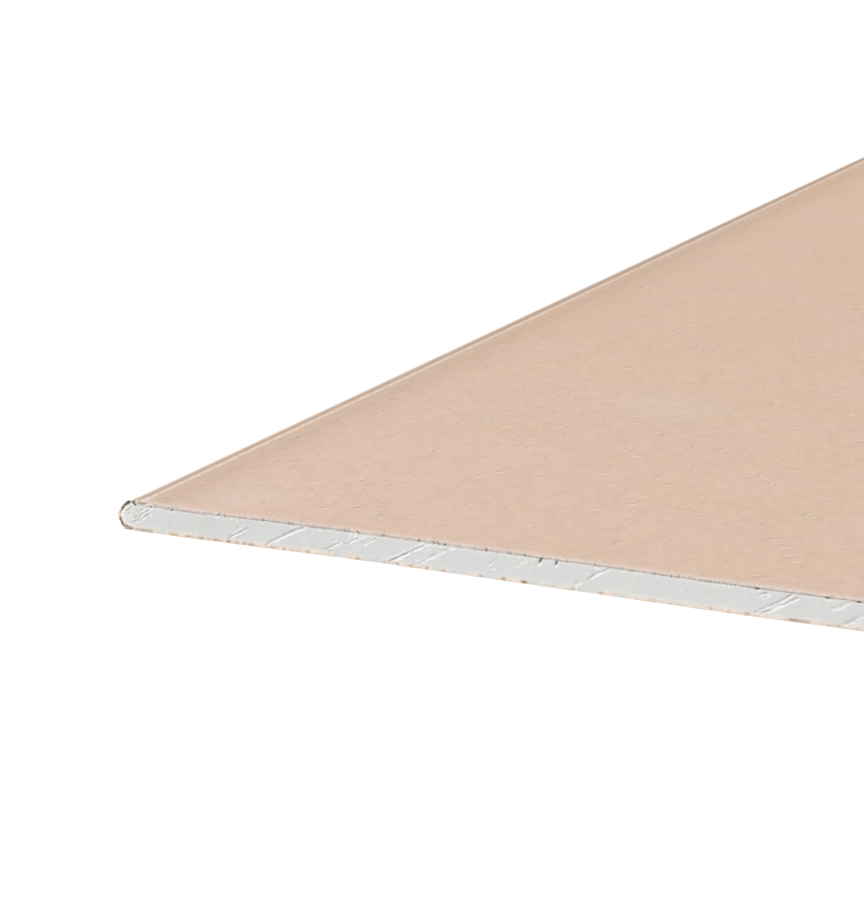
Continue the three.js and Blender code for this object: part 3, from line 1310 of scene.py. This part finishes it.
def make_fine_grain():
    """Grain of a broken or sawn surface: a height and a mask of its small open pores."""
    tree, given = new_group("fine_grain", ("Pitch",), ("Height", "Pores"))
    coarse = noise(given["Place"], given["Pitch"], detail=4, roughness=0.65)
    ragged = ruffled(given["Place"], scale=2600, reach=0.0003)
    distance, _, draw = cells(ragged, given["Pitch"] * 1.1)
    pores = ease(distance, 0.30, 0.12) * ease(draw, 0.72, 0.80)
    add_node(tree, "NodeGroupOutput", Height=coarse - pores * 0.6, Pores=pores)
    return tree


# -------------------- sawn gypsum

GYPSUM_GREENISH = (0.722, 0.738, 0.712, 1)
GYPSUM_PINKISH = (0.732, 0.722, 0.732, 1)
GYPSUM_CLOUD = (0.60, 0.60, 0.58, 1)
GYPSUM_PORE = (0.45, 0.44, 0.42, 1)
# Plaster dust on the ridges and chips, and their painted highlight.
GYPSUM_POWDER_HIGHLIGHT = (0.95, 0.95, 0.94, 1)
PAPER_SMEAR = (0.90, 0.785, 0.68, 1)
# Colours of the painted shade in the grooves, gaps and nicks.
SHADE_BROWN = (0.335, 0.28, 0.235, 1)
SHADE_BLACK = (0.13, 0.115, 0.105, 1)


def make_gypsum(grain):
    """The sawn plaster: paper fibres on it, plaster dust and a painted highlight on its ridges, and painted
    shade in its grooves, gaps and nicks.
    """
    material, tree = new_material("sawn_gypsum")
    place = place_on_sheet(tree)
    fine = use_group(grain, place, Pitch=850.0)
    drift = ease(noise(place, 70, detail=3, roughness=0.5), 0.38, 0.62)
    colour = mixed(drift, GYPSUM_GREENISH, GYPSUM_PINKISH)
    colour = mixed(noise(place, 260, detail=4, roughness=0.6) * 0.19, colour, GYPSUM_CLOUD)
    colour = mixed(fine["Pores"] * 0.22, colour, GYPSUM_PORE)
    # Plaster dust and painted highlight on the ridges and by the wrap.
    colour = mixed(mark(tree, "powder_and_highlight"), colour, GYPSUM_POWDER_HIGHLIGHT)
    patches = ease(noise(place, 420, detail=3, roughness=0.6), -0.10, 0.55)
    colour = mixed(mark(tree, "fibres") * patches, colour, PAPER_SMEAR)
    # Painted shade in the grooves, gaps and nicks: brown, and near black where it is strongest.
    shade = mark(tree, "shade")
    deep = mixed(ease(shade, 0.6, 1.0), SHADE_BROWN, SHADE_BLACK)
    colour = mixed(ease(shade, 0.05, 1.0) * 0.9, colour, deep)
    return finished(
        material, colour, roughness=0.95, specular=0.2, relief=fine["Height"], relief_depth=0.12 * MM,
    )


# -------------------- the two liners

BACK_PINK = (0.750, 0.541, 0.437, 1)
BACK_YELLOW = (0.731, 0.545, 0.417, 1)
# Painted highlight and painted shade on the two sides of the back's flecks.
BACK_FLECK_HIGHLIGHT = (0.86, 0.72, 0.58, 1)
BACK_FLECK_SHADE = (0.36, 0.24, 0.15, 1)
BACK_DULL = (0.56, 0.38, 0.24, 1)
BACK_BESIDE_EDGE = (0.42, 0.29, 0.19, 1)
BACK_DUST = (0.81, 0.765, 0.77, 1)
# Colour of the wear and painted highlight on the lap's arris.
BACK_WEAR_HIGHLIGHT = (0.90, 0.78, 0.69, 1)
BACK_CUT_PALE = (0.86, 0.74, 0.66, 1)
BACK_CUT_DARK = (0.62, 0.48, 0.41, 1)
# Colour of the painted shade at the lap's edge and down the cut edges.
BACK_SHADE = (0.28, 0.21, 0.17, 1)

FACE_PINK = (0.52, 0.40, 0.33, 1)
FACE_YELLOW = (0.52, 0.375, 0.27, 1)
# Painted highlight and painted shade on the two sides of the face paper's flecks.
FACE_FLECK_HIGHLIGHT = (0.72, 0.58, 0.46, 1)
FACE_FLECK_SHADE = (0.30, 0.22, 0.17, 1)
FACE_FAR_DARKER = (0.34, 0.25, 0.18, 1)
FACE_DUST = (0.86, 0.80, 0.76, 1)
FACE_CUT_GREY = (0.80, 0.72, 0.65, 1)
FACE_CUT_ORANGE = (0.82, 0.60, 0.42, 1)
FACE_CUT_TORN = (0.55, 0.43, 0.34, 1)
# Colour of the wear near the cuts and of the painted highlight on the round edges.
FACE_WEAR_HIGHLIGHT = (0.92, 0.83, 0.77, 1)
# Colours of the darkening at the cuts and of the painted shade in the flap's notch.
FACE_DARK_BROWN = (0.40, 0.25, 0.14, 1)
FACE_NEAR_BLACK = (0.12, 0.10, 0.09, 1)
FACE_PLASTER = (0.76, 0.75, 0.74, 1)

# The share of a liner's own colour that is left in the darkest clouds of its pulp.
CLOUDED = 0.48

# Pale rubbed spots on the back: how far across and along from the corner that is seen closest, reach, all
# three in millimetres, and strength.
DUSTED_SPOTS = (
    (7.5, 3, 9, 0.65), (26, 2, 12, 0.30), (46, 27, 30, 0.12), (153, 266, 40, 0.10),
)

# The corner by which the sheet is seen closest.
NEAR_CORNER = (-half_width, near_y, board_thickness)

# The darker strip beside each long edge: how far in from the edge it starts, and is full.
STRIP_START = 46 * MM
STRIP_FULL = 14 * MM

# The stretch where the pale line of wear and painted highlight on the back's long edges runs further in: how
# far along the sheet it starts, is full, fades and is gone, in metres.
FURTHER_IN = (0.10, 0.30, 0.50, 0.90)


def liner_colour(stock, base, other, pale, dark, pulp):
    """A liner's colour: two tints of the stock, clouded by its pulp, with the painted highlight and shade of
    its flecks.
    """
    colour = mixed(stock["Tint"], base, other)
    clouded = [CLOUDED * channel for channel in base[:3]] + [1]
    colour = mixed(ease(stock["Cloud"], 0.17, 0.57) * pulp, colour, clouded)
    colour = mixed(stock["Pale"] * 0.86, colour, pale)
    return mixed(stock["Dark"] * 0.52, colour, dark)


def dusted_spots(place):
    """Mask of the pale rubbed spots on the back."""
    mask = 0.0
    for across, along, reach, strength in DUSTED_SPOTS:
        centre = (across * MM - half_width, near_y + along * MM, board_thickness)
        distance = distance_from(ruffled(place, scale=60, reach=0.0007 * reach), centre)
        mask = larger(mask, ease(distance, reach * MM, 0.0) * strength)
    return mask


def lap_distance(from_middle, along, far_from_corner):
    """Distance in millimetres from the back paper's long edge, as its pale line of wear and painted highlight
    wanders.
    """
    inwards = (lap_start - from_middle) / MM - far_from_corner * 0.8
    starts, full, fades, gone = [near_y + run for run in FURTHER_IN]
    return inwards - ease(along, starts, full) * ease(along, gone, fades) * 0.5


def make_back_liner(stock_group, dust_group):
    """The tan paper on the back: its lap's arris pale with wear and painted highlight, painted shade at its
    edges, and the saw's dust by its cuts.
    """
    material, tree = new_material("back_liner")
    place = place_on_sheet(tree)
    stock = use_group(stock_group, place, Flecks=1.0)
    colour = liner_colour(stock, BACK_PINK, BACK_YELLOW, BACK_FLECK_HIGHLIGHT, BACK_FLECK_SHADE, 0.34)
    across, along, _ = axes_of(place)
    from_middle = abs(across)
    from_corner_seen = distance_from(place, NEAR_CORNER)
    far_from_corner = ease(from_corner_seen, 0.05, 0.80)
    beside_edge = ease(from_middle, half_width - STRIP_START, half_width - STRIP_FULL)
    # Darker further from the near corner.
    colour = mixed(ease(from_corner_seen, 0.0, 0.55) * 0.25, colour, BACK_DULL)
    colour = mixed(beside_edge * 0.22, colour, BACK_BESIDE_EDGE)
    dust = use_group(dust_group, place, From_Cut=mark(tree, "from_cut"), Reach=9.0)
    colour = mixed(larger(dust["Mask"] * 0.45, dusted_spots(place)), colour, BACK_DUST)
    bare = noise(place, 900, detail=3, roughness=0.6)
    inwards = lap_distance(from_middle, along, far_from_corner)
    # Pale line along the lap's arris: wear, and a painted highlight where the light catches it.
    lap_line_wear_and_highlight = ease(inwards, 0.2, 1.2) * ease(inwards, 3.5, 2.1) * (0.75 - far_from_corner * 0.3)
    pale_wear_and_highlight = larger(mark(tree, "wear_and_highlight"), lap_line_wear_and_highlight) * ease(bare, 0.30, 0.60)
    colour = mixed(pale_wear_and_highlight * 0.85, colour, BACK_WEAR_HIGHLIGHT)
    edge = mixed(ease(bare, 0.40, 0.72), BACK_CUT_PALE, BACK_CUT_DARK)
    colour = mixed(mark(tree, "cut_edge"), colour, edge)
    # Painted shade at the lap's edge and down the cut edges.
    lap_edge_shade = ease(inwards, 0.1, -0.6) * 0.5
    colour = mixed(larger(mark(tree, "shade_and_darkening") * 0.9, lap_edge_shade), colour, BACK_SHADE)
    return finished(
        material, colour, roughness=0.88, specular=0.25, sheen=0.08,
        relief=stock["Relief"], relief_depth=0.18 * MM,
    )


def make_face_liner(stock_group, dust_group):
    """The paper round the long edges and under the sheet, darker further from the near corner, with a painted
    highlight on its round edges, darkened at its cuts with painted shade in the flap's notch, and smeared
    with plaster there.
    """
    material, tree = new_material("face_liner")
    place = place_on_sheet(tree)
    stock = use_group(stock_group, place, Flecks=0.6)
    colour = liner_colour(stock, FACE_PINK, FACE_YELLOW, FACE_FLECK_HIGHLIGHT, FACE_FLECK_SHADE, 0.12)
    # Darker further from the near corner.
    far_from_corner = ease(distance_from(place, NEAR_CORNER), 0.10, 0.90)
    colour = mixed(far_from_corner * 0.45, colour, FACE_FAR_DARKER)
    dust = use_group(dust_group, place, From_Cut=mark(tree, "from_cut"), Reach=7.0)
    colour = mixed(dust["Mask"] * 0.3, colour, FACE_DUST)
    torn = noise(place, 800, detail=3, roughness=0.6)
    patch = ease(noise(place, 95, detail=2, roughness=0.6), 0.42, 0.60)
    edge = mixed(patch, FACE_CUT_GREY, FACE_CUT_ORANGE)
    edge = mixed(ease(torn, 0.35, 0.7) * 0.5, edge, FACE_CUT_TORN)
    colour = mixed(mark(tree, "cut_edge"), colour, edge)
    # Wear near the cuts, and the painted highlight on the top of the round edges.
    colour = mixed(mark(tree, "wear_and_highlight") * ease(torn, 0.15, 0.45), colour, FACE_WEAR_HIGHLIGHT)
    # Darkening at the cuts, with painted shade in the flap's notch.
    shade_and_darkening = mark(tree, "shade_and_darkening")
    darkened = mixed(ease(shade_and_darkening - torn * 0.5, 0.1, 0.6), FACE_DARK_BROWN, FACE_NEAR_BLACK)
    colour = mixed(ease(shade_and_darkening, 0.0, 0.6), colour, darkened)
    colour = mixed(mark(tree, "plaster") * 0.9, colour, FACE_PLASTER)
    return finished(
        material, colour, roughness=0.8, specular=0.3, sheen=0.05,
        relief=stock["Relief"], relief_depth=0.1 * MM,
    )


# -------------------- pieces

BACK_FIBRES = {"Spacing": 0.8 * MM, "Length": 0.9 * MM, "Thickness": 0.05 * MM, "Spread": 1.0}
FACE_FIBRES = {"Spacing": 0.9 * MM, "Length": 0.6 * MM, "Thickness": 0.045 * MM, "Spread": 0.8}


def dress():
    """Makes the three pieces, each in the place of its node, and the papers' torn fibres beside them."""
    stock = make_liner_stock()
    dust = make_saw_dust()
    back_finish = make_back_liner(stock, dust)
    face_finish = make_face_liner(stock, dust)
    for piece, node, slot, finish in (
        (make_core(), "gypsum_core", "gypsum", make_gypsum(make_fine_grain())),
        (make_back_paper(), "back_paper", "back_liner", back_finish),
        (make_face_paper(), "face_paper", "face_liner", face_finish),
    ):
        piece.data.materials.append(finish)
        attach(piece, "root")
        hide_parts(node)
    back_roots = np.arange(-lap_start, lap_start, FRINGE_PITCH)
    face_roots = np.arange(0.5 * FRINGE_PITCH, wrap_run, FRINGE_PITCH)
    for fringe, slot in (
        (make_fringe("back_liner_fringe", back_finish, BACK, back_roots, BACK_FIBRES), "back_liner"),
        (make_fringe("face_liner_fringe", face_finish, FACE, face_roots, FACE_FIBRES), "face_liner"),
    ):
        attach(fringe, "root")


# -------------------- floor, light and camera

def make_floor():
    reach = 30
    white = (0.97, 0.97, 0.97, 1)
    mesh = bpy.data.meshes.new("floor")
    corners = [(-reach, -reach, 0), (reach, -reach, 0), (reach, reach, 0), (-reach, reach, 0)]
    mesh.from_pydata(corners, [], [(0, 1, 2, 3)])
    floor = bpy.data.objects.new("floor", mesh)
    bpy.context.scene.collection.objects.link(floor)
    material, _ = new_material("pale_floor")
    floor.data.materials.append(finished(material, white, roughness=0.9, specular=0.2))


def light_studio():
    """A white surround and one broad, soft sun, high on the left and a little to the camera's side."""
    seen_strength = 1.0
    lit_strength = 0.55
    towards_sun = Vector((-0.45, -0.25, 0.86))
    world = bpy.data.worlds.new("studio")
    bpy.context.scene.world = world
    world.use_nodes = True
    tree = world.node_tree
    sky = tree.nodes["Background"]
    sky.inputs["Color"].default_value = (1, 1, 1, 1)
    # The camera sees the background as white as the floor, and the sheet is lit by a softer one.
    seen = Value(tree.nodes.new("ShaderNodeLightPath").outputs["Is Camera Ray"])
    feed(sky.inputs["Strength"], seen * (seen_strength - lit_strength) + lit_strength)
    lamp = bpy.data.lights.new("key", "SUN")
    lamp.energy = 0.6 * math.pi
    lamp.angle = math.radians(18)
    key = bpy.data.objects.new("key", lamp)
    key.rotation_euler = towards_sun.to_track_quat("Z", "Y").to_euler()
    bpy.context.scene.collection.objects.link(key)


def place_camera():
    """The camera that sees the sheet's near left corner, from its right and over its end."""
    turn = math.radians(25.98)
    tilt = math.radians(14.616)
    corner = Vector((-half_width, near_y, 0))
    from_there = Vector((809.2, -1345.9, 443.3)) * MM
    lens = bpy.data.cameras.new("view")
    lens.lens = 147.5
    lens.sensor_width = 36
    lens.clip_start = 0.05
    lens.clip_end = 200
    camera = bpy.data.objects.new("view", lens)
    camera.location = corner + from_there
    ahead = Vector((-math.sin(turn) * math.cos(tilt), math.cos(turn) * math.cos(tilt), -math.sin(tilt)))
    camera.rotation_euler = ahead.to_track_quat("-Z", "Y").to_euler()
    bpy.context.scene.collection.objects.link(camera)
    bpy.context.scene.camera = camera


dress()
make_floor()
light_studio()
place_camera()
bpy.context.scene.view_settings.view_transform = "Standard"

bpy.context.view_layer.update()
